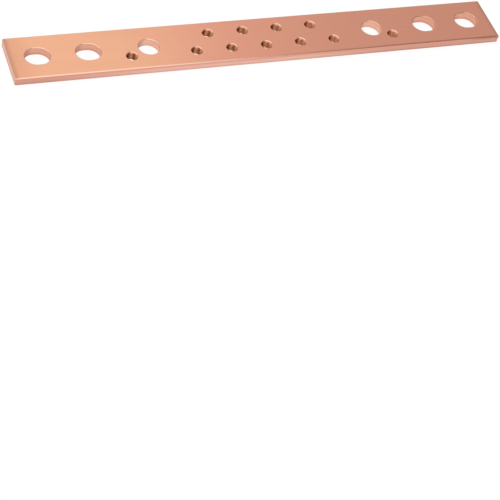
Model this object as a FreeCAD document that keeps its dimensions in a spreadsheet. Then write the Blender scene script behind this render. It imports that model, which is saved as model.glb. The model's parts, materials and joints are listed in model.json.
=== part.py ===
import FreeCAD, Part
import math
import os
import Sketcher

# Flat copper busbar: one drawn bar, cut to length, punched, drilled and tapped.
# Lengths are in millimetres. X runs along the bar, Y across it and Z is up; the
# origin is the middle of the underside.

# Two places closer than this are the same place
TOUCH = 1e-6

doc = FreeCAD.newDocument("busbar")

# Driving sizes
sizes = doc.addObject("Spreadsheet::Sheet", "Sizes")
DIMENSIONS = [
    ("bar_length", 280.0, "cut length of the bar"),
    ("bar_width", 30.0, "width of the drawn section"),
    ("bar_thick", 5.0, "thickness of the drawn section"),
    ("edge_round", 0.7, "radius on the four long edges, left by the drawing die"),
    ("end_break", 0.5, "burr taken off the outline of each cut end"),
    ("slot_width", 12.0, "width of the end slots, across the bar"),
    ("slot_travel", 1.6, "straight part of a slot, the play a bolt has along the bar"),
    ("slot_inset", 15.0, "cut end to the middle of the first slot"),
    ("slot_step", 27.0, "slot to slot, middle to middle"),
    ("slot_count", 2, "slots at each end"),
    ("bolt_bore", 11.5, "diameter of the round bolt holes"),
    ("bolt_inset", 75.0, "cut end to the middle of a bolt hole"),
    ("rim_break", 0.5, "bevel that takes the burr off the rims of the punched holes"),
    ("tap_core", 5.0, "core diameter of the tapped holes, for an M6 thread"),
    ("sink_ring", 0.8, "width and depth of the countersink on a tapped hole"),
    ("tap_pitch", 20.0, "distance between tapped holes in one row"),
    ("front_line", 5.8, "middle of the bar to the front row, towards -Y"),
    ("back_line", 6.7, "middle of the bar to the back row, towards +Y"),
    ("front_count", 5, "tapped holes in the front row"),
    ("back_count", 4, "tapped holes in the back row"),
    ("lone_wall", 2.75, "metal along the bar between a bolt hole and the single tapped hole beside it"),
]
for row, (alias, value, note) in enumerate(DIMENSIONS, start=1):
    sizes.set("A%d" % row, note)
    sizes.set("B%d" % row, str(value))
    sizes.setAlias("B%d" % row, alias)
doc.recompute()

body = doc.addObject("PartDesign::Body", "busbar")
body.Label = "busbar"


def origin_feature(role):
    """A plane or axis of the body's own origin."""
    return [f for f in body.Origin.OriginFeatures if f.Role == role][0]


def bind(feature, **expressions):
    """Tie properties or named constraints to cells of the sheet."""
    for name, expression in expressions.items():
        feature.setExpression(name, expression)


def new_sketch(name, height=None):
    """A sketch on the ground plane, or lifted to a height given as an expression."""
    sketch = body.newObject("Sketcher::SketchObject", name)
    sketch.AttachmentSupport = [(origin_feature("XY_Plane"), "")]
    sketch.MapMode = "FlatFace"
    if height:
        sketch.setExpression("AttachmentOffset.Base.z", height)
    return sketch


def constrain(sketch, name, expression, *args):
    """Add a named dimension to a sketch and drive it from the sheet."""
    index = sketch.addConstraint(Sketcher.Constraint(*args))
    sketch.renameConstraint(index, name)
    sketch.setExpression("Constraints." + name, expression)


def add_feature(kind, name, profile):
    """A feature that reads a sketch, which it then hides."""
    feature = body.newObject("PartDesign::" + kind, name)
    feature.Profile = profile
    profile.Visibility = False
    return feature


def edges_where(feature, test):
    """Names of the edges of a feature's shape that pass a test."""
    found = []
    for index, edge in enumerate(feature.Shape.Edges, start=1):
        if test(edge):
            found.append("Edge%d" % index)
    return found


def dress(kind, name, base, edge_names, **expressions):
    """A fillet or chamfer on named edges of the last feature."""
    feature = body.newObject("PartDesign::" + kind, name)
    feature.Base = (base, edge_names)
    bind(feature, **expressions)
    doc.recompute()
    return feature


def lies_at(edge, height):
    """True for an edge that lies flat at a height above the underside."""
    box = edge.BoundBox
    return box.ZLength < TOUCH and abs(box.ZMin - height) < TOUCH


# The drawn bar: a rectangle about the middle, as thick as the stock
outline = new_sketch("bar_outline")
corners = [(-1, -1), (1, -1), (1, 1), (-1, 1)]
for start, end in zip(corners, corners[1:] + corners[:1]):
    a = FreeCAD.Vector(start[0] * sizes.bar_length / 2, start[1] * sizes.bar_width / 2, 0)
    b = FreeCAD.Vector(end[0] * sizes.bar_length / 2, end[1] * sizes.bar_width / 2, 0)
    outline.addGeometry(Part.LineSegment(a, b), False)
for side in range(4):
    outline.addConstraint(Sketcher.Constraint("Coincident", side, 2, (side + 1) % 4, 1))
for side in (0, 2):
    outline.addConstraint(Sketcher.Constraint("Horizontal", side))
for side in (1, 3):
    outline.addConstraint(Sketcher.Constraint("Vertical", side))
outline.addConstraint(Sketcher.Constraint("Symmetric", 0, 1, 1, 2, -1, 1))
constrain(outline, "length", "Sizes.bar_length", "DistanceX", 0, 1, 0, 2, sizes.bar_length)
constrain(outline, "width", "Sizes.bar_width", "DistanceY", 1, 1, 1, 2, sizes.bar_width)
bar = add_feature("Pad", "bar", outline)
bind(bar, Length="Sizes.bar_thick")
doc.recompute()

# Long edges rounded by the die, then the cut ends deburred all round
def runs_along(edge):
    """True for an edge as long as the bar."""
    return abs(edge.BoundBox.XLength - sizes.bar_length) < TOUCH


def on_cut_end(edge):
    """True for an edge that lies wholly in one of the two end faces."""
    box = edge.BoundBox
    return box.XLength < TOUCH and abs(abs(box.XMin) - sizes.bar_length / 2) < TOUCH


drawn = dress("Fillet", "drawn_edges", bar, edges_where(bar, runs_along), Radius="Sizes.edge_round")
dress("Chamfer", "cut_ends", drawn, edges_where(drawn, on_cut_end), Size="Sizes.end_break")

# End slots: one is punched, stepped along the bar, then mirrored to the other end
slot_sketch = new_sketch("slot_outline", "Sizes.bar_thick")
slot_middle = sizes.bar_length / 2 - sizes.slot_inset
slot_radius = sizes.slot_width / 2
slot_half = sizes.slot_travel / 2
up = FreeCAD.Vector(0, 0, 1)
for way in (1, -1):
    middle = FreeCAD.Vector(slot_middle + way * slot_half, 0, 0)
    first = -way * math.pi / 2
    slot_sketch.addGeometry(
        Part.ArcOfCircle(Part.Circle(middle, up, slot_radius), first, first + math.pi), False)
for side in (1, -1):
    a = FreeCAD.Vector(slot_middle + side * slot_half, side * slot_radius, 0)
    b = FreeCAD.Vector(slot_middle - side * slot_half, side * slot_radius, 0)
    slot_sketch.addGeometry(Part.LineSegment(a, b), False)
slot_sketch.addConstraint(Sketcher.Constraint("Tangent", 0, 2, 2, 1))
slot_sketch.addConstraint(Sketcher.Constraint("Tangent", 2, 2, 1, 1))
slot_sketch.addConstraint(Sketcher.Constraint("Tangent", 1, 2, 3, 1))
slot_sketch.addConstraint(Sketcher.Constraint("Tangent", 3, 2, 0, 1))
slot_sketch.addConstraint(Sketcher.Constraint("Equal", 0, 1))
slot_sketch.addConstraint(Sketcher.Constraint("PointOnObject", 0, 3, -1))
slot_sketch.addConstraint(Sketcher.Constraint("PointOnObject", 1, 3, -1))
constrain(slot_sketch, "end_radius", "Sizes.slot_width / 2", "Radius", 0, slot_radius)
constrain(slot_sketch, "travel", "Sizes.slot_travel", "DistanceX", 1, 3, 0, 3, sizes.slot_travel)
constrain(slot_sketch, "outer_centre", "Sizes.bar_length / 2 - Sizes.slot_inset + Sizes.slot_travel / 2",
          "DistanceX", -1, 1, 0, 3, slot_middle + slot_half)
slot = add_feature("Pocket", "slot", slot_sketch)
slot.Type = "ThroughAll"
doc.recompute()

slots = body.newObject("PartDesign::MultiTransform", "slots")
slots.Originals = [slot]
step = doc.addObject("PartDesign::LinearPattern", "slot_step")
step.Direction = (origin_feature("X_Axis"), [""])
step.Reversed = True
bind(step, Occurrences="Sizes.slot_count", Length="Sizes.slot_step * (Sizes.slot_count - 1)")
far_end = doc.addObject("PartDesign::Mirrored", "slot_far_end")
far_end.MirrorPlane = (origin_feature("YZ_Plane"), [""])
body.addObject(step)
body.addObject(far_end)
slots.Transformations = [step, far_end]
body.Tip = slots
doc.recompute()

# Round bolt holes: one near each end, on the middle line
bolt_sketch = new_sketch("bolt_centres", "Sizes.bar_thick")
for way in (1, -1):
    middle = FreeCAD.Vector(way * (sizes.bar_length / 2 - sizes.bolt_inset), 0, 0)
    bolt_sketch.addGeometry(Part.Circle(middle, up, sizes.bolt_bore / 2), False)
bolt_sketch.addConstraint(Sketcher.Constraint("Symmetric", 0, 3, 1, 3, -1, 1))
bolt_sketch.addConstraint(Sketcher.Constraint("PointOnObject", 0, 3, -1))
bolt_sketch.addConstraint(Sketcher.Constraint("Equal", 0, 1))
constrain(bolt_sketch, "bore", "Sizes.bolt_bore", "Diameter", 0, sizes.bolt_bore)
constrain(bolt_sketch, "from_middle", "Sizes.bar_length / 2 - Sizes.bolt_inset",
          "DistanceX", -1, 1, 0, 3, sizes.bar_length / 2 - sizes.bolt_inset)
bolts = add_feature("Pocket", "bolt_holes", bolt_sketch)
bolts.Type = "ThroughAll"
doc.recompute()


def on_punched_rim(edge):
    """True for an edge of a slot or bolt hole in the top or bottom face."""
    if not (lies_at(edge, 0) or lies_at(edge, sizes.bar_thick)):
        return False
    box = edge.BoundBox
    reach_along = max(abs(box.XMin), abs(box.XMax))
    reach_across = max(abs(box.YMin), abs(box.YMax))
    off_the_ends = reach_along < sizes.bar_length / 2 - sizes.end_break - TOUCH
    off_the_edges = reach_across < sizes.bar_width / 2 - sizes.edge_round - TOUCH
    return off_the_ends and off_the_edges


dress("Chamfer", "punched_rims", bolts, edges_where(bolts, on_punched_rim), Size="Sizes.rim_break")


def tapped_hole(name, along, across, x, y):
    """One countersunk core hole, placed by two expressions from the middle of the bar."""
    sketch = new_sketch(name + "_centre", "Sizes.bar_thick")
    sketch.addGeometry(Part.Circle(FreeCAD.Vector(x, y, 0), up, sizes.tap_core / 2), False)
    constrain(sketch, "core", "Sizes.tap_core", "Diameter", 0, sizes.tap_core)
    constrain(sketch, "along", along, "DistanceX", 0, 3, -1, 1, -x)
    if y < 0:
        constrain(sketch, "across", across, "DistanceY", 0, 3, -1, 1, -y)
    else:
        constrain(sketch, "across", across, "DistanceY", -1, 1, 0, 3, y)
    doc.recompute()
    hole = add_feature("Hole", name, sketch)
    hole.DepthType = "ThroughAll"
    hole.HoleCutType = "Countersink"
    hole.HoleCutCustomValues = True
    hole.HoleCutCountersinkAngle = 90
    bind(hole, Diameter="Sizes.tap_core", HoleCutDiameter="Sizes.tap_core + 2 * Sizes.sink_ring")
    doc.recompute()
    return hole


def row_of(name, hole, count):
    """The same tapped hole repeated along the bar at the row's pitch."""
    row = body.newObject("PartDesign::LinearPattern", name)
    row.Originals = [hole]
    row.Direction = (origin_feature("X_Axis"), [""])
    bind(row, Occurrences=count, Length="Sizes.tap_pitch * (%s - 1)" % count)
    body.Tip = row
    doc.recompute()


# Tapped holes: a front row and a staggered back row, each centred on the bar
front = tapped_hole("front_tap", "Sizes.tap_pitch * (Sizes.front_count - 1) / 2", "Sizes.front_line",
                    -sizes.tap_pitch * (sizes.front_count - 1) / 2, -sizes.front_line)
row_of("front_row", front, "Sizes.front_count")
back = tapped_hole("back_tap", "Sizes.tap_pitch * (Sizes.back_count - 1) / 2", "Sizes.back_line",
                   -sizes.tap_pitch * (sizes.back_count - 1) / 2, sizes.back_line)
row_of("back_row", back, "Sizes.back_count")

# One more tapped hole beside each bolt hole, on the front row's line
beside_bolt = sizes.bolt_bore / 2 + sizes.lone_wall + sizes.tap_core / 2
lone = tapped_hole("lone_tap", "Sizes.bar_length / 2 - Sizes.bolt_inset"
                   " + Sizes.bolt_bore / 2 + Sizes.lone_wall + Sizes.tap_core / 2", "Sizes.front_line",
                   sizes.bolt_inset - sizes.bar_length / 2 - beside_bolt, -sizes.front_line)
lone_pair = body.newObject("PartDesign::Mirrored", "lone_pair")
lone_pair.Originals = [lone]
lone_pair.MirrorPlane = (origin_feature("YZ_Plane"), [""])
body.Tip = lone_pair
doc.recompute()

# Every object must be sound before anything is written
for item in doc.Objects:
    if "Invalid" in item.State or "Error" in item.State:
        raise RuntimeError("%s did not build: %s" % (item.Name, item.State))
    shape = getattr(item, "Shape", None)
    solid_feature = item.isDerivedFrom("PartDesign::Feature") and item not in (step, far_end)
    if solid_feature and (shape is None or shape.isNull() or not shape.isValid()):
        raise RuntimeError("%s has no sound shape" % item.Name)

os.makedirs("parts", exist_ok=True)
body.Shape.exportStep("parts/busbar.step")
box = body.Shape.BoundBox
print("busbar %.2f x %.2f x %.2f mm, %.1f mm3" % (box.XLength, box.YLength, box.ZLength, body.Shape.Volume))
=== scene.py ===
# %% [markdown]
# # A drawn copper busbar
#
# The object is one flat bar of copper. It was drawn through a die, cut to length, punched with
# slots and bolt holes, and drilled and tapped with small screw holes. This lesson loads the
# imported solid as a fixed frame, builds a finer visual bar in the same place, gives it four
# copper finishes and lights it like a catalogue picture. Everything is in metres.

# %% Load the frame
import json
import math
from collections import namedtuple
import bmesh
import bpy
from mathutils import Matrix, Vector


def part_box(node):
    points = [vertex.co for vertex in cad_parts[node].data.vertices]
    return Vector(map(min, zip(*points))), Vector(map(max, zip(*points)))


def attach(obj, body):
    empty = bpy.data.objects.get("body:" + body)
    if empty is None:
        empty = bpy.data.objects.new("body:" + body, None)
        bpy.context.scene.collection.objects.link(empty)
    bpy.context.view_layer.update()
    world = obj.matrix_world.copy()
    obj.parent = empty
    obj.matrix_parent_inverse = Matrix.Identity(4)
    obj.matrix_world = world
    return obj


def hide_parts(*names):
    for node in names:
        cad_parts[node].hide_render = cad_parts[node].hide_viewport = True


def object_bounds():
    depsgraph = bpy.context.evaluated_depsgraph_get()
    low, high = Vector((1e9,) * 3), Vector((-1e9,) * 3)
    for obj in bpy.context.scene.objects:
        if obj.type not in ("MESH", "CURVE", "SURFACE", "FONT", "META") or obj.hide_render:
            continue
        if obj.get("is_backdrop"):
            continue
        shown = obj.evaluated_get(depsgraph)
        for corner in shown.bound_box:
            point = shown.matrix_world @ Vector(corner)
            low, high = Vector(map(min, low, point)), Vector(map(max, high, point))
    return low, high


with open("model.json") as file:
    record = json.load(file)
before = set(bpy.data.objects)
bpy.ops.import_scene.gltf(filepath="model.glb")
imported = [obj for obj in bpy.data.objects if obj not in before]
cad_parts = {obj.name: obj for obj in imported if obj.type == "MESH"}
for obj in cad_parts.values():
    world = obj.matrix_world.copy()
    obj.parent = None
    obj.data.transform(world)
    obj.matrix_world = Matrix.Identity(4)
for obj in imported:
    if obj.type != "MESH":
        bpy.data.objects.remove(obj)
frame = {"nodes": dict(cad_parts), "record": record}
cad_low, cad_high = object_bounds()
MM = 0.001


def in_mm(lengths):
    """Lengths in metres as rounded millimetres, for printing."""
    return [round(length / MM, 2) for length in lengths]


print("frame holds", sorted(frame["nodes"]), "size in mm", in_mm(cad_high - cad_low))

# %% [markdown]
# ## Sizes from the frame
#
# The bar's own size is the box of its solid. The places and sizes of its holes are in the
# record, as the mounts where screws and bolts go. Reading them from there keeps the visual
# bar and the solid in step: a hole that moves in one moves in the other. A slot is kept as a
# round hole with a travel, which is how far its two halves lie apart.

# %% Read the bar and its holes
bar_low, bar_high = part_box("busbar")
LENGTH, WIDTH, THICK = bar_high - bar_low
Hole = namedtuple("Hole", "middle radius travel")


def holes_of(mount):
    """The holes that a mount stands for, each with its middle on the top face."""
    dims = mount["dims"]
    middle = Vector((mount["pos_m"][0], mount["pos_m"][1], bar_high.z))
    radius = dims.get("hole_r_mm", dims.get("r_mm")) * MM
    travel = max(dims.get("slot_length_mm", 0.0) * MM - 2 * radius, 0.0)
    reach = Vector((dims.get("spacing_x_mm", 0.0) * MM / 2, 0, 0))
    places = [middle - reach, middle + reach] if reach.length else [middle]
    return [Hole(place, radius, travel) for place in places]


print("bar of", in_mm((LENGTH, WIDTH, THICK)), "mm")

# %% Sort the holes by their size
SCREW_LIMIT = 4 * MM
hole_mounts = [mount for mount in frame["record"]["mounts"] if mount["kind"] != "flat_face"]
all_holes = [hole for mount in hole_mounts for hole in holes_of(mount)]
tapped_holes = [hole for hole in all_holes if hole.radius < SCREW_LIMIT]
punched_holes = [hole for hole in all_holes if hole.radius >= SCREW_LIMIT]
print(len(punched_holes), "punched holes and", len(tapped_holes), "tapped holes")

# %% [markdown]
# ## The outline of the bar
#
# A drawn bar has softly rounded long edges, because the die has them. Its ends are sheared: the
# blade drags the upper face down a little before it cuts, and below the burr is taken off. The
# outline starts as a flat rectangle with its corners beveled. Its edge loop is then extruded
# down in small steps, and each step moves the new loop in or out, so the loops trace the
# rounded edge like contour lines on a map. A bevel of the finished box would be shorter, but it
# gives one rounding to all edges, and here the long edges and the ends differ.

# %% Work out a rounded edge


def round_depths(radius, steps):
    """Depths down a quarter circle, close together where it begins to fall."""
    turns = [math.pi / 2 * step / steps for step in range(steps + 1)]
    return [radius * (1 - math.cos(turn)) for turn in turns]


def rolled(reach, drop, depth):
    """How far an edge that rounds off over a reach and a drop has drawn back at a depth."""
    left = max(1 - depth / drop, 0.0)
    return reach * (1 - math.sqrt(1 - left ** 2))


drawn_back = [rolled(MM, MM, depth) for depth in round_depths(MM, 3)]
print("in 3 steps a round of 1 mm draws back by", in_mm(drawn_back), "mm")

# %% List the contours of the outer wall
EDGE_ROUND = 0.7 * MM
END_BREAK = 0.5 * MM
END_ROLL = 4.0 * MM
END_DROP = 0.6 * MM
ROUND_STEPS = 10
Contour = namedtuple("Contour", "end_inset side_inset height")

contours = []
for depth in round_depths(EDGE_ROUND, ROUND_STEPS):
    side_inset = rolled(EDGE_ROUND, EDGE_ROUND, depth)
    contours.append(Contour(rolled(END_ROLL, END_DROP, depth), side_inset, THICK - depth))
for depth in reversed(round_depths(EDGE_ROUND, ROUND_STEPS)):
    side_inset = rolled(EDGE_ROUND, EDGE_ROUND, depth)
    contours.append(Contour(rolled(END_BREAK, END_BREAK, depth), side_inset, depth))
print(len(contours), "contours, the first drawn in by", in_mm(contours[0][:2]), "mm")

# %% Trace the outer wall
CORNER_SEGMENTS = 4


def next_loop(mesh, loop, place):
    """Extrude an edge loop, put each new point where place says, and return the new loop."""
    made = bmesh.ops.extrude_edge_only(mesh, edges=loop)["geom"]
    for point in [part for part in made if isinstance(part, bmesh.types.BMVert)]:
        point.co = place(point.co)
    edges = [part for part in made if isinstance(part, bmesh.types.BMEdge)]
    return [edge for edge in edges if len(edge.link_faces) == 1]


def shift_inward(old, new):
    """A rule that moves a point of the outline from one contour to another."""
    def place(co):
        x = co.x + math.copysign(1, co.x) * (old.end_inset - new.end_inset)
        y = co.y + math.copysign(1, co.y) * (old.side_inset - new.side_inset)
        return Vector((x, y, new.height))
    return place


bar = bmesh.new()
bmesh.ops.create_grid(bar, x_segments=1, y_segments=1, size=0.5)
bmesh.ops.scale(bar, vec=(LENGTH, WIDTH, 1), verts=bar.verts)
bmesh.ops.bevel(bar, geom=bar.verts[:], offset=END_BREAK, affect="VERTICES",
                segments=CORNER_SEGMENTS, profile=0.5, material=-1)
bmesh.ops.delete(bar, geom=bar.faces[:], context="FACES_ONLY")
loop = bar.edges[:]
to_first = shift_inward(Contour(0.0, 0.0, THICK), contours[0])
for point in bar.verts:
    point.co = to_first(point.co)
for old, new in zip(contours, contours[1:]):
    loop = next_loop(bar, loop, shift_inward(old, new))
print("outer wall:", len(bar.faces), "faces")

# %% [markdown]
# ## Walls for the holes
#
# Every hole in the bar is a tube with open ends. A circle is its first loop, and extruding the
# loop down makes the wall, as on the outside of the bar. A rule of angle and height gives the
# radius, so one helper makes plain walls, rounded rims and threads. A slot is the same circle
# with its two halves pulled apart along the bar, which is how a slot punch is ground. Each wall
# is made by itself and stamped into the bar where the frame says.

# %% Make and stamp a wall
FACE_DRAWN, FACE_CUT, FACE_SUNK, FACE_TAPPED = range(4)


def tube(radii, heights, travel, segments, finish):
    """An open tube whose radius follows a rule of angle and height, split by the slot's travel."""
    wall = bmesh.new()
    bmesh.ops.create_circle(wall, segments=segments, radius=1.0)
    bmesh.ops.rotate(wall, matrix=Matrix.Rotation(math.pi / segments, 3, "Z"), verts=wall.verts)

    def at(height):
        def place(co):
            half = math.copysign(travel / 2, co.x)
            angle = math.atan2(co.y, co.x - half)
            spoke = Vector((math.cos(angle), math.sin(angle), 0)) * radii(angle, height)
            return spoke + Vector((half, 0, height))
        return place

    loop = wall.edges[:]
    for point in wall.verts:
        point.co.x += math.copysign(travel / 2, point.co.x)
        point.co = at(heights[0])(point.co)
    for height in heights[1:]:
        loop = next_loop(wall, loop, at(height))
    for face in wall.faces:
        face.material_index = finish(face.calc_center_median())
    mesh = bpy.data.meshes.new("wall")
    wall.to_mesh(mesh)
    wall.free()
    return mesh


def stamp(mesh, middle):
    """Add a finished wall to the bar at a place."""
    copy = mesh.copy()
    copy.transform(Matrix.Translation((middle.x, middle.y, 0)))
    bar.from_mesh(copy)
    bpy.data.meshes.remove(copy)


print("a wall's faces take finish", FACE_CUT, FACE_SUNK, "or", FACE_TAPPED)

# %% [markdown]
# ## Punched slots and bolt holes
#
# The punch drags the upper rim down a little, and below the metal breaks away to the wider die,
# so the wall of a slot or a bolt hole begins in a small quarter round and ends in a larger one.
# A boolean cut would leave sharp rims to be beveled afterwards. Here the rounded rims are part
# of the wall from the start.

# %% Sink the punched holes
RIM_ROUND = 0.4 * MM
DIE_ROUND = 0.7 * MM
RIM_STEPS = 6
PUNCH_SEGMENTS = 96


def rim_rule(radius):
    """Radius of a punched wall at a height, wider where the rims are rounded."""
    def radii(angle, height):
        dragged = rolled(RIM_ROUND, RIM_ROUND, THICK - height)
        broken = rolled(DIE_ROUND, DIE_ROUND, height)
        return radius + dragged + broken
    return radii


def punch_finish(spot):
    """A punched wall is cut copper all the way down."""
    return FACE_CUT


punch_heights = [THICK - depth for depth in round_depths(RIM_ROUND, RIM_STEPS)]
punch_heights += reversed(round_depths(DIE_ROUND, RIM_STEPS))
for hole in punched_holes:
    wall = tube(rim_rule(hole.radius), punch_heights, hole.travel, PUNCH_SEGMENTS, punch_finish)
    stamp(wall, hole.middle)
print("with punched holes:", len(bar.faces), "faces")

# %% [markdown]
# ## Tapped holes
#
# An M6 thread is a groove that climbs one millimetre a turn. The wall of the hole is a fine
# net of loops, and the radius of each point is worked out from its height and its angle: the
# crest is flat at the core diameter, the flanks lean about thirty degrees, and the root lies at
# the full six millimetres. The upper mouth is countersunk and the lower one has its burr broken
# off. Of the groove and the two cones whatever lies further out wins, so the thread runs out
# into a cone as it does under a real countersink. A profile that is spun up a screw line would
# make the thread too, but its two ends would then have to be cut to the cones. One wall serves
# all the holes, because a machine that feeds the tap by its turns starts each thread alike.

# %% Shape a thread
PITCH = 1.0 * MM
CREST_FLAT = PITCH / 4
ROOT_FLAT = PITCH / 8
ROOT_RADIUS = 3.0 * MM
SINK_RING = 0.8 * MM
EXIT_RING = 0.4 * MM
THREAD_START = math.radians(60)


def thread_rule(core):
    """Radius of the countersunk, threaded wall at an angle and a height."""
    flank_run = (PITCH - CREST_FLAT - ROOT_FLAT) / 2

    def radii(angle, height):
        climb = (height - PITCH * (angle - THREAD_START) / (2 * math.pi)) % PITCH
        from_root = abs(climb - PITCH / 2) - ROOT_FLAT / 2
        share = min(max(1 - from_root / flank_run, 0.0), 1.0)
        groove = core + (ROOT_RADIUS - core) * share
        upper_cone = core + SINK_RING - (THICK - height)
        lower_cone = core + EXIT_RING - height
        return max(groove, upper_cone, lower_cone)
    return radii


print("thread of", in_mm([2 * ROOT_RADIUS, PITCH]), "mm diameter and pitch")

# %% Cut the threads
LOOPS_A_TURN = 16
TAP_SEGMENTS = 64
BRIGHT_RING = 0.35 * MM


def tap_finish(spot):
    """The rim of the countersink is bright, and under it lies the tapped wall with its painted
    shade.
    """
    return FACE_SUNK if spot.z > THICK - BRIGHT_RING else FACE_TAPPED


loops_down = round(THICK / PITCH * LOOPS_A_TURN)
tap_heights = [THICK * (1 - step / loops_down) for step in range(loops_down + 1)]
core_radius = tapped_holes[0].radius
tapped_wall = tube(thread_rule(core_radius), tap_heights, 0.0, TAP_SEGMENTS, tap_finish)
for hole in tapped_holes:
    stamp(tapped_wall, hole.middle)
print("with threads:", len(bar.faces), "faces")

# %% [markdown]
# ## The two wide faces
#
# Both faces are flat sheets with holes in them. The triangle fill takes the outer loop and all
# the hole loops at once and covers what lies between them, where a bridge could join only two.
# Flat faces stay flat shaded and the rounded ones are smoothed, so a highlight stops cleanly
# where the rounding ends. The flat ends were sheared off, so they get the finish of the punched
# walls.

# %% Close the faces
FLAT_LIMIT = 0.99999


def open_loops(height):
    """The edges that still lack a face at one of the two wide faces."""
    loose = [edge for edge in bar.edges if len(edge.link_faces) == 1]
    return [edge for edge in loose if abs(edge.verts[0].co.z - height) < MM]


for height in (THICK, 0.0):
    bmesh.ops.triangle_fill(bar, use_beauty=True, use_dissolve=False, edges=open_loops(height))
bmesh.ops.recalc_face_normals(bar, faces=bar.faces[:])
for face in bar.faces:
    flat = max(abs(part) for part in face.normal) > FLAT_LIMIT
    face.smooth = not flat
    if abs(face.normal.x) > FLAT_LIMIT and face.material_index == FACE_DRAWN:
        face.material_index = FACE_CUT
torn_edges = [edge for edge in bar.edges if len(edge.link_faces) != 2]
print("closed bar:", len(bar.faces), "faces,", len(torn_edges), "torn edges")
print("volume in cubic millimetres:", round(bar.calc_volume() / MM ** 3))

# %% Make the piece
bar_mesh = bpy.data.meshes.new("drawn_bar")
bar.to_mesh(bar_mesh)
bar.free()
drawn_bar = bpy.data.objects.new("drawn_bar", bar_mesh)
bpy.context.scene.collection.objects.link(drawn_bar)
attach(drawn_bar, "root")
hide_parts("busbar")
print("piece made with", len(bar_mesh.polygons), "faces")

# %% [markdown]
# ## Writing shaders as sums
#
# A finish is easier to read as a formula than as a list of links. This small class wraps a
# socket. Arithmetic on it adds Math nodes, and its node method adds any other node from its
# type, its settings and the values of its sockets. The other methods are short names for the
# nodes that are used most.

# %% A class for shader sums
MIXED_COLOUR = 2


class Wire:
    """A value in a node tree that Python arithmetic can be done on."""

    def __init__(self, tree, socket=None):
        self.tree = tree
        self.socket = socket

    def node(self, kind, settings, inputs, output=0):
        """Add a node, set it up, feed its sockets and return one of its outputs."""
        made = self.tree.nodes.new(kind)
        for name, value in settings.items():
            setattr(made, name, value)
        for name, value in inputs.items():
            socket = [s for s in made.inputs if name in (s.name, s.identifier)][0]
            if isinstance(value, Wire):
                self.tree.links.new(value.socket, socket)
            else:
                socket.default_value = value
        return Wire(self.tree, made.outputs[output])

    def maths(self, operation, first, second=0.0):
        """One Math node."""
        values = {"Value": first, "Value_001": second}
        return self.node("ShaderNodeMath", {"operation": operation}, values)

    def __add__(self, other):
        return self.maths("ADD", self, other)

    def __sub__(self, other):
        return self.maths("SUBTRACT", self, other)

    def __rsub__(self, other):
        return self.maths("SUBTRACT", other, self)

    def __mul__(self, other):
        return self.maths("MULTIPLY", self, other)

    def __truediv__(self, other):
        return self.maths("DIVIDE", self, other)

    def __rtruediv__(self, other):
        return self.maths("DIVIDE", other, self)

    __radd__ = __add__
    __rmul__ = __mul__

    def part(self, axis):
        """The X, Y or Z part of a vector."""
        return self.node("ShaderNodeSeparateXYZ", {}, {"Vector": self}, output=axis)

    def mix(self, first, second, blend="MIX"):
        """A colour between two, with this wire as the share of the second."""
        return self.node("ShaderNodeMix", {"data_type": "RGBA", "blend_type": blend},
                         {"Factor_Float": self, "A_Color": first, "B_Color": second},
                         output=MIXED_COLOUR)

    def between(self, low, high, to_low=0.0, to_high=1.0):
        """This wire's range from low to high, stretched smoothly to another range."""
        return self.node("ShaderNodeMapRange", {"interpolation_type": "SMOOTHSTEP"},
                         {"Value": self, "From Min": low, "From Max": high,
                          "To Min": to_low, "To Max": to_high})


print("shader sums ready")

# %% [markdown]
# ## What the finishes share
#
# All four finishes are bare metal, so each starts from a fully metallic shader. Two things tell
# a spot what it looks like: its place on the bar, which the Object coordinates give, and the way
# that its surface faces. Noise swings about a middle value, so a helper turns it into a swing up
# and down by a chosen amount. The bumps are a tenth of a millimetre deep at most.

# %% Start a finish
NOISE_MIDDLE = 0.5
BUMP_DEPTH = 0.1 * MM


def new_metal(name):
    """An empty metal: the material, its tree as a wire and its shader node."""
    material = bpy.data.materials.new(name)
    material.use_nodes = True
    shader = material.node_tree.nodes["Principled BSDF"]
    shader.inputs["Metallic"].default_value = 1.0
    return material, Wire(material.node_tree), shader


def coordinates(tree, kind):
    """Where a spot lies or how it faces, as a vector."""
    return tree.node("ShaderNodeTexCoord", {}, {}, output=kind)


def scaled(place, scales):
    """Coordinates with a scale of their own along X, Y and Z."""
    return place.node("ShaderNodeMapping", {}, {"Vector": place, "Scale": scales})


def noise(place, scale, detail, roughness=0.5):
    """Soft random spots, so many to a metre."""
    values = {"Vector": place, "Scale": scale, "Detail": detail, "Roughness": roughness}
    return place.node("ShaderNodeTexNoise", {}, values)


def swing(pattern, amount):
    """A noise as a swing up and down about nothing."""
    return (pattern - NOISE_MIDDLE) * amount


def bump(pattern, strength):
    """A normal that follows the ups and downs of a pattern."""
    values = {"Height": pattern, "Strength": strength, "Distance": BUMP_DEPTH}
    return pattern.node("ShaderNodeBump", {}, values)


def feed(wire, node, socket):
    """Link a wire to a socket of a node."""
    wire.tree.links.new(wire.socket, node.inputs[socket])


print("bumps reach", in_mm([BUMP_DEPTH]), "mm")

# %% [markdown]
# ## The wide faces
#
# The skin of the bar carries very fine lines along its length, from the die, and softer clouds
# of the thin oxide that handling leaves. The wide face turns from gold at the left to brown and
# is duller at its left end. A picture of real copper could be laid on it, but it would have to
# be fitted to the bar. Here the place along the bar sets the tone, and noise sways it.

# %% The colour of the wide faces
COPPER_GOLD = (0.94, 0.490, 0.300, 1)
COPPER_BROWN = (0.93, 0.414, 0.284, 1)
COPPER_END = (0.80, 0.385, 0.235, 1)
GOLD_TO_BROWN = (-100 * MM, -10 * MM)
CLOUD_TONE = 0.9
LINE_TONE = 0.5
LEFT_END = (-140 * MM, -122 * MM)
END_SHARE = 0.6


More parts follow.
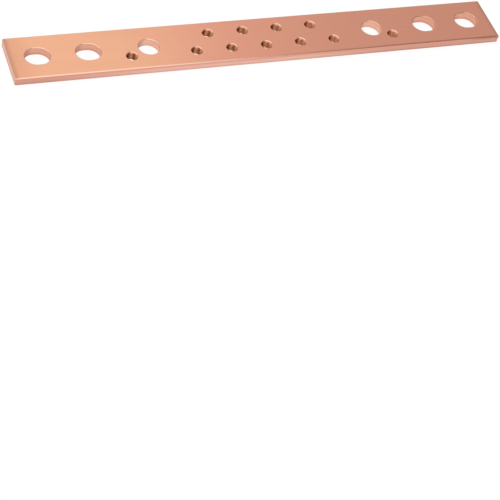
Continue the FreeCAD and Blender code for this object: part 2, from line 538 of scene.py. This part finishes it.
def face_colour(x, clouds, lines):
    """The wide face: gold to brown with clouds and lines, and duller at the left end."""
    tone = x.between(*GOLD_TO_BROWN) + swing(clouds, CLOUD_TONE) + swing(lines, LINE_TONE)
    share = tone.maths("MINIMUM", tone.maths("MAXIMUM", tone, 0.0), 1.0)
    clean = share.mix(COPPER_GOLD, COPPER_BROWN)
    return x.between(*LEFT_END, END_SHARE, 0.0).mix(clean, COPPER_END)


print("the face turns from gold to brown between", in_mm(GOLD_TO_BROWN), "mm")

# %% [markdown]
# ## The narrow sides
#
# The narrow sides have less oxide, so they are pinker, and painted shade dulls them toward both
# ends. A darker, oranger band runs along their upper part. Painted shade greys their foot, for
# the floor's contact shadow that it would mirror; the metal shows through it, so its tone is
# multiplied in, where the others are laid over.

# %% The colour of the narrow sides
# The dull copper is painted shade for the ends, and the grey film is painted shade for the foot.
COPPER_PINK = (0.97, 0.545, 0.440, 1)
COPPER_SHADED_SIDE = (0.79, 0.390, 0.305, 1)
COPPER_UPPER_BAND = (0.80, 0.385, 0.270, 1)
PAINTED_FOOT_SHADE = (0.82, 0.87, 0.90, 1)
BRIGHT_AT = -25 * MM
END_SHADE_RANGE = (30 * MM, 110 * MM)
UPPER_BAND = (2.6 * MM, 3.8 * MM)
UPPER_BAND_SHARE = 0.8
FOOT_SHADE_BAND = (0.5 * MM, 2.2 * MM)


def side_colour(x, height):
    """A narrow side: pink, painted shade toward the ends and at the foot, a darker band above."""
    # Painted shade toward both ends of the side.
    end_shade = x.maths("ABSOLUTE", x - BRIGHT_AT).between(*END_SHADE_RANGE)
    end_shaded = end_shade.mix(COPPER_PINK, COPPER_SHADED_SIDE)
    # A darker, oranger band along the upper part.
    banded = (height.between(*UPPER_BAND) * UPPER_BAND_SHARE).mix(end_shaded, COPPER_UPPER_BAND)
    # Painted shade at the foot, for the floor's contact shadow that it would mirror.
    return height.between(*FOOT_SHADE_BAND, 1.0, 0.0).mix(banded, PAINTED_FOOT_SHADE, "MULTIPLY")


print("upper_bands begin between", in_mm(UPPER_BAND), "mm up, and foot_shade ends between", in_mm(FOOT_SHADE_BAND), "mm")

# %% [markdown]
# ## The edges: painted highlight and shade
#
# The rounded edges get a painted highlight on the left half and painted shade at the right end,
# on the upper edges and the top of the sides. The Z of the normal tells where an edge is: it is
# one on a wide face, nothing on a narrow side and something between on the rounding. So no mask
# has to be painted, and the highlight and shade stay on the rounding if that gets another size.

# %% The painted highlight and shade of the edges
# The pale copper is a painted highlight and the dark copper is painted shade.
COPPER_PAINTED_HIGHLIGHT = (1.00, 0.640, 0.520, 1)
COPPER_EDGE_SHADE = (0.45, 0.185, 0.120, 1)
SIDE_TO_EDGE = (0.10, 0.45)
EDGE_TO_FACE = (0.80, 0.99)
HIGHLIGHT_REACH = (-30 * MM, 30 * MM)
EDGE_SHADE_FROM = (115 * MM, 134 * MM)
EDGE_SHADE_UP = (2.6 * MM, 4.0 * MM)
EDGE_SHADE_TO_FACE = (0.70, 0.96)
EDGE_SHADE_SHARE = 0.7


def edges_with_painted_light(skin, x, height, up):
    """A skin with a painted highlight on its edges at the left and painted shade at the right end.
    """
    edge = up.between(*SIDE_TO_EDGE) * up.between(*EDGE_TO_FACE, 1.0, 0.0)
    # Painted highlight on the rounded edges of the left half.
    highlighted = (edge * x.between(*HIGHLIGHT_REACH, 1.0, 0.0)).mix(skin, COPPER_PAINTED_HIGHLIGHT)
    # Painted shade on the upper edges and the top of the sides at the right end.
    upper = height.between(*EDGE_SHADE_UP) * up.between(*EDGE_SHADE_TO_FACE, 1.0, 0.0)
    darkened = upper * x.between(*EDGE_SHADE_FROM) * EDGE_SHADE_SHARE
    return darkened.mix(highlighted, COPPER_EDGE_SHADE)


print("edges are rubbed up to", in_mm(HIGHLIGHT_REACH), "mm and tarnished from", in_mm(EDGE_SHADE_FROM), "mm")

# %% [markdown]
# ## Drawn copper
#
# The three colours come together in one finish. Its lines are noise that is stretched along X,
# because the marks of the die run along the bar. They could be cut into the mesh, but they are
# far too fine for that, so they move the roughness, the tone and the bump together.

# %% The drawn finish
LINE_SCALES = (16.25, 2600.0, 2600.0)
LINE_DETAIL = 3.0
CLOUD_SCALES = (20.0, 60.0, 60.0)
CLOUD_DETAIL = 4.0
DRAWN_GRAIN = 0.6
SIDE_TO_FACE = (0.55, 0.97)
DRAWN_ROUGHNESS = 0.24
LINE_ROUGHNESS = 0.14
CLOUD_ROUGHNESS = 0.06
LINE_BUMP = 0.20


def drawn_copper():
    """The skin that the die left, with what handling has done to it."""
    material, tree, shader = new_metal("drawn_copper")
    place = coordinates(tree, "Object")
    x, height = place.part("X"), place.part("Z")
    up = tree.maths("ABSOLUTE", coordinates(tree, "Normal").part("Z"))
    lines = noise(scaled(place, LINE_SCALES), 1.0, LINE_DETAIL, DRAWN_GRAIN)
    clouds = noise(scaled(place, CLOUD_SCALES), 1.0, CLOUD_DETAIL, DRAWN_GRAIN)
    skin = up.between(*SIDE_TO_FACE).mix(side_colour(x, height), face_colour(x, clouds, lines))
    feed(edges_with_painted_light(skin, x, height, up), shader, "Base Color")
    roughness = DRAWN_ROUGHNESS + swing(lines, LINE_ROUGHNESS) + swing(clouds, CLOUD_ROUGHNESS)
    feed(roughness, shader, "Roughness")
    feed(bump(lines, LINE_BUMP), shader, "Normal")
    return material


bar_mesh.materials.append(drawn_copper())
print("drawn copper:", len(bar_mesh.materials[FACE_DRAWN].node_tree.nodes), "nodes")

# %% [markdown]
# ## Cut copper
#
# A punch first shears the metal smoothly and then breaks it, so the wall of a punched hole, like
# a sheared end, is bright with fine upright scores above and more matt below. The border
# between the two wanders a little. The round holes, which lie nearer to the middle, were reamed
# afterwards, so they are brighter. Painted shade darkens the walls that look right, and the
# upper rims on the left half carry the same painted highlight as the long edges. The scores are
# noise that is stretched along Z, so they stand upright on every wall and none has to be
# unwrapped.

# %% The colour of the cut walls
COPPER_CUT = (0.89, 0.475, 0.338, 1)
COPPER_BROKEN = (0.85, 0.430, 0.300, 1)
COPPER_REAMED = (0.98, 0.570, 0.420, 1)
# This dark brown is painted shade for the walls that face right.
COPPER_WALL_SHADE = (0.55, 0.240, 0.150, 1)
REAMED = (75 * MM, 85 * MM)
SHADE_FACING = (0.0, 0.9)
WALL_SHADE_SHARE = 0.85
RIM_BAND = (4.5 * MM, 4.75 * MM)


def wall_colour(x, height, east, sheared):
    """A cut wall: broken or sheared, reamed near the middle, painted shade left, painted rim
    highlight.
    """
    reamed = x.maths("ABSOLUTE", x).between(*REAMED, 1.0, 0.0)
    bare = reamed.mix(sheared.mix(COPPER_BROKEN, COPPER_CUT), COPPER_REAMED)
    # Painted shade on the walls that face right.
    wall = east.between(*SHADE_FACING, 0.0, WALL_SHADE_SHARE).mix(bare, COPPER_WALL_SHADE)
    # Painted highlight on the upper rims in the left half.
    rim = height.between(*RIM_BAND) * x.between(*HIGHLIGHT_REACH, 1.0, 0.0)
    return rim.mix(wall, COPPER_PAINTED_HIGHLIGHT)


print("holes less than", in_mm(REAMED)[0], "mm from the middle are reamed")

# %% The cut finish
SCORE_SCALES = (1800.0, 1800.0, 60.0)
WANDER_SCALE = 500.0
CUT_DETAIL = 2.0
SHEARED_FROM = 1.9 * MM
BORDER = 0.3 * MM
BORDER_WANDER = 1.2 * MM
BROKEN_ROUGHNESS = 0.40
SHEARED_SHINE = 0.14
SCORE_ROUGHNESS = 0.10
SCORE_BUMP = 0.06


def cut_copper():
    """A wall that was sheared above and broke away below."""
    material, tree, shader = new_metal("cut_copper")
    place = coordinates(tree, "Object")
    x, height = place.part("X"), place.part("Z")
    east = coordinates(tree, "Normal").part("X")
    scores = noise(scaled(place, SCORE_SCALES), 1.0, CUT_DETAIL)
    wandering = height + swing(noise(place, WANDER_SCALE, CUT_DETAIL), BORDER_WANDER)
    sheared = wandering.between(SHEARED_FROM - BORDER, SHEARED_FROM + BORDER)
    feed(wall_colour(x, height, east, sheared), shader, "Base Color")
    roughness = BROKEN_ROUGHNESS - sheared * SHEARED_SHINE + swing(scores, SCORE_ROUGHNESS)
    feed(roughness, shader, "Roughness")
    feed(bump(scores, SCORE_BUMP), shader, "Normal")
    return material


bar_mesh.materials.append(cut_copper())
print("cut copper:", len(bar_mesh.materials[FACE_CUT].node_tree.nodes), "nodes")

# %% [markdown]
# ## Countersunk copper
#
# A countersink is turned, so its marks are rings. Rings about each hole's middle would need that
# middle, but on a cone each ring also lies at one height. So a plain wave along Z serves all the
# holes, and it moves the tone, the roughness and the bump together.

# %% The countersunk finish
COPPER_TURNED = (0.97, 0.610, 0.480, 1)
COPPER_RING = (0.94, 0.530, 0.390, 1)
RING_SCALE = 1500.0
RING_WOBBLE = 1.0
RING_DETAIL = 1.0
TURNED_ROUGHNESS = 0.24
RING_ROUGHNESS = 0.06
RING_BUMP = 0.04


def sunk_copper():
    """A freshly turned cone with its rings."""
    material, tree, shader = new_metal("sunk_copper")
    values = {"Vector": coordinates(tree, "Object"), "Scale": RING_SCALE,
              "Distortion": RING_WOBBLE, "Detail": RING_DETAIL}
    rings = tree.node("ShaderNodeTexWave", {"bands_direction": "Z"}, values)
    feed(rings.mix(COPPER_RING, COPPER_TURNED), shader, "Base Color")
    feed(TURNED_ROUGHNESS + rings * RING_ROUGHNESS, shader, "Roughness")
    feed(bump(rings, RING_BUMP), shader, "Normal")
    return material


bar_mesh.materials.append(sunk_copper())
print("sunk copper:", len(bar_mesh.materials[FACE_SUNK].node_tree.nodes), "nodes")

# %% [markdown]
# ## Tapped copper
#
# The wall of a tapped hole is darkened by painted shade in four lobes round the bore, for the
# dark lobes that a deep bore shows. The shade is strongest on the left side of each hole; on the
# right side it is weaker, and it fades from the left end of the bar to the right. On the wall of a
# round hole the direction that a face looks in says how far round it lies, so the four lobes come
# from the normal's X and Y alone: the share of X in it runs from nothing to one and back, and the
# shade is thickest halfway. The specular tint keeps the metal's mirroring warm even at a grazing
# angle.

# %% The tapped finish
# The oiled colour is painted shade in the bore.
COPPER_TAPPED = (0.84, 0.390, 0.225, 1)
COPPER_BORE_SHADE = (0.28, 0.090, 0.030, 1)
COPPER_GRAZED = (0.70, 0.42, 0.25, 1)
LEFT_WALL = (-0.3, 0.3)
SHADE_LEFT = 1.3
SHADE_RIGHT = (0.9, 0.3)
SHADE_ALONG_BAR = (-80 * MM, 80 * MM)
TORN_SCALE = 1400.0
TORN_DETAIL = 4.0
TORN_SHADE = 0.3
TAPPED_ROUGHNESS = 0.24
TORN_ROUGHNESS = 0.2
TORN_BUMP = 0.06


def tapped_copper():
    """A thread's wall, torn a little, with painted shade in four lobes round the bore."""
    material, tree, shader = new_metal("tapped_copper")
    shader.inputs["Specular Tint"].default_value = COPPER_GRAZED
    place, facing = coordinates(tree, "Object"), coordinates(tree, "Normal")
    east, north = facing.part("X"), facing.part("Y")
    lean = east / tree.maths("SQRT", east * east + north * north)
    share = lean * lean
    # Painted shade in four lobes round the bore, heaviest on the left wall of each hole and fading
    # along the bar on the right wall.
    shade_lobes = 4 * share * (1 - share)
    on_left = lean.between(*LEFT_WALL)
    on_right = place.part("X").between(*SHADE_ALONG_BAR, *SHADE_RIGHT) * (1 - on_left)
    torn = noise(place, TORN_SCALE, TORN_DETAIL)
    bore_shade = shade_lobes * (on_right + SHADE_LEFT * on_left) + swing(torn, TORN_SHADE)
    feed(bore_shade.between(0.0, 1.0).mix(COPPER_TAPPED, COPPER_BORE_SHADE), shader, "Base Color")
    feed(TAPPED_ROUGHNESS + swing(torn, TORN_ROUGHNESS), shader, "Roughness")
    feed(bump(torn, TORN_BUMP), shader, "Normal")
    return material


bar_mesh.materials.append(tapped_copper())
print("finishes:", [material.name for material in bar_mesh.materials])

# %% [markdown]
# ## The room
#
# Polished metal shows what stands around it, so the light is laid out as what the bar should
# mirror: a quiet room with one long soft panel, which runs from above the camera over the bar
# to the back wall. The left half of the bar mirrors the panel and the right half looks past its
# edge. Toward the horizon the room grows dark, which draws the edges of the bar, and a low
# window at the right lights the bar for whoever walks round it. Lamps could give such light too,
# but a formula of the direction is soft by itself. The camera sees the room as plain white.

# %% The panel
PANEL_OVERHEAD = 0.85
OVERHEAD_RIGHT = (0.30, 0.40)
PANEL_BEHIND = 0.40
PANEL_RIGHT = (0.28, 0.42)
WALL_LEFT = (0.02, 0.16)
WALL_SHARE = 0.3


def overhead_panel(right, behind):
    """The panel over the bar, which ends a little to the right."""
    return PANEL_OVERHEAD * right.between(*OVERHEAD_RIGHT, 1.0, 0.0) * (1 - behind)


def panel_on_wall(right, behind):
    """The panel's run down the back wall, weaker at the left."""
    panel = PANEL_BEHIND * right.between(*PANEL_RIGHT, 1.0, 0.0) * behind
    return panel * right.between(*WALL_LEFT, WALL_SHARE, 1.0)


print("the panel adds", PANEL_OVERHEAD, "overhead and", PANEL_BEHIND, "on the back wall")

# %% The window
WINDOW_LEVEL = 0.5
WINDOW_RIGHT = (0.54, 0.70)
WINDOW_UP = (0.35, 0.65)
WINDOW_HIGH = 0.3


def low_window(right, behind, up):
    """A window at the right, brightest low down."""
    window = WINDOW_LEVEL * right.between(*WINDOW_RIGHT) * (1 - behind)
    return window * up.between(*WINDOW_UP, 1.0, WINDOW_HIGH)


print("the window adds", WINDOW_LEVEL, "low down and", WINDOW_LEVEL * WINDOW_HIGH, "high up")

# %% Light the room
QUIET_LEVEL = 0.32
BACK_LIFT = 0.28
BEHIND = (0.2, 0.6)
HORIZON_UP = (0.15, 0.55)
HORIZON_SHARE = 0.40
WHITE = (1, 1, 1, 1)


def light_room():
    """A world whose brightness depends on the direction: X is right, Y is back and Z is up."""
    world = bpy.data.worlds.new("studio")
    bpy.context.scene.world = world
    world.use_nodes = True
    room = Wire(world.node_tree)
    toward = coordinates(room, "Generated")
    right, back, up = [toward.part(axis) for axis in "XYZ"]
    behind = back.between(*BEHIND)
    quiet = QUIET_LEVEL + BACK_LIFT * behind
    above_horizon = up.between(*HORIZON_UP, HORIZON_SHARE, 1.0)
    walls = (quiet + panel_on_wall(right, behind)) * above_horizon
    level = overhead_panel(right, behind) + low_window(right, behind, up) + walls
    seen = room.node("ShaderNodeLightPath", {}, {}, output="Is Camera Ray")
    background = world.node_tree.nodes["Background"]
    background.inputs["Color"].default_value = WHITE
    feed(level * (1 - seen) + seen, background, "Strength")


light_room()
print("room lit by", len(bpy.context.scene.world.node_tree.nodes), "nodes")

# %% [markdown]
# ## The floor
#
# A catalogue picture is taken on white paper that shows no edge. The floor is one wide sheet
# just under the bar. More light would whiten it, but would bleach the bar as well, so to the
# camera it shines by itself and is as white as the room. A small share of matt paint keeps a
# faint shadow of the bar, and metal mirrors a good part of the white, which lights the narrow
# sides from below.

# %% Lay the floor
FLOOR_GAP = 0.05 * MM
FLOOR_REACH = 6.0
FLOOR_PAINT = (0.9, 0.9, 0.9, 1)
SHADOW_SHARE = 0.10
MIRRORED_SHARE = 0.45
WHITE_LEVEL = 1.03


def white_floor():
    """Matt paint that glows white for the camera, and partly for mirrored light."""
    material = bpy.data.materials.new("white_floor")
    material.use_nodes = True
    tree = Wire(material.node_tree)
    rays = ("Is Camera Ray", "Is Glossy Ray", "Is Transmission Ray")
    seen, mirrored, passed = [tree.node("ShaderNodeLightPath", {}, {}, output=ray) for ray in rays]
    glow = tree.maths("MAXIMUM", seen, tree.maths("MAXIMUM", mirrored * MIRRORED_SHARE, passed))
    matt = tree.node("ShaderNodeBsdfDiffuse", {}, {"Color": FLOOR_PAINT})
    white = tree.node("ShaderNodeEmission", {}, {"Color": WHITE, "Strength": WHITE_LEVEL})
    shown = tree.node("ShaderNodeMixShader", {},
                      {"Fac": glow * (1 - SHADOW_SHARE), "Shader": matt, "Shader_001": white})
    feed(shown, material.node_tree.nodes["Material Output"], "Surface")
    return material


def lay_floor():
    """One wide sheet a hair below the bar."""
    sheet = bmesh.new()
    bmesh.ops.create_grid(sheet, x_segments=1, y_segments=1, size=FLOOR_REACH)
    bmesh.ops.translate(sheet, vec=(0, 0, bar_low.z - FLOOR_GAP), verts=sheet.verts)
    mesh = bpy.data.meshes.new("floor")
    sheet.to_mesh(mesh)
    sheet.free()
    mesh.materials.append(white_floor())
    floor = bpy.data.objects.new("floor", mesh)
    bpy.context.scene.collection.objects.link(floor)
    floor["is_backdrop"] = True


lay_floor()
print("floor laid", in_mm([FLOOR_GAP]), "mm below the bar")

# %% [markdown]
# ## The camera
#
# The photograph looks down on the bar from the front left through a long lens, and the camera
# was tilted to the side, so the bar rises to the right. The three angles and the lens come from
# matching the outline and the middles of the holes.

# %% Place the camera
AZIMUTH = math.radians(-31.737)
ELEVATION = math.radians(48.280)
ROLL = math.radians(16.919)
FOCAL_PIXELS = 1486.75
IMAGE_PIXELS = 500
SENSOR_MM = 36.0
CAMERA_FROM_TOP = Vector((-303.301, -541.230, 526.211)) * MM
NEAREST, FARTHEST = 0.01, 50.0


def camera_pose():
    """The camera's place and turn: its back axis points away from the bar, and it is rolled."""
    flat = math.cos(ELEVATION)
    back = Vector((math.sin(AZIMUTH) * flat, -math.cos(AZIMUTH) * flat, math.sin(ELEVATION)))
    right = Vector((0, 0, 1)).cross(back).normalized()
    up = back.cross(right)
    turned_right = right * math.cos(ROLL) + up * math.sin(ROLL)
    turned_up = up * math.cos(ROLL) - right * math.sin(ROLL)
    pose = Matrix((turned_right, turned_up, back)).transposed().to_4x4()
    pose.translation = CAMERA_FROM_TOP + Vector((0, 0, bar_high.z))
    return pose


lens = bpy.data.cameras.new("camera")
lens.sensor_width = SENSOR_MM
lens.lens = SENSOR_MM * FOCAL_PIXELS / IMAGE_PIXELS
lens.clip_start = NEAREST
lens.clip_end = FARTHEST
camera = bpy.data.objects.new("camera", lens)
camera.matrix_world = camera_pose()
bpy.context.scene.collection.objects.link(camera)
bpy.context.scene.camera = camera
bpy.context.scene.view_settings.view_transform = "Standard"
print("camera lens", round(lens.lens, 1), "mm")

# %% Measure the visual bar and finish
seen_low, seen_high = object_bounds()
print("visual size in mm", in_mm(seen_high - seen_low))
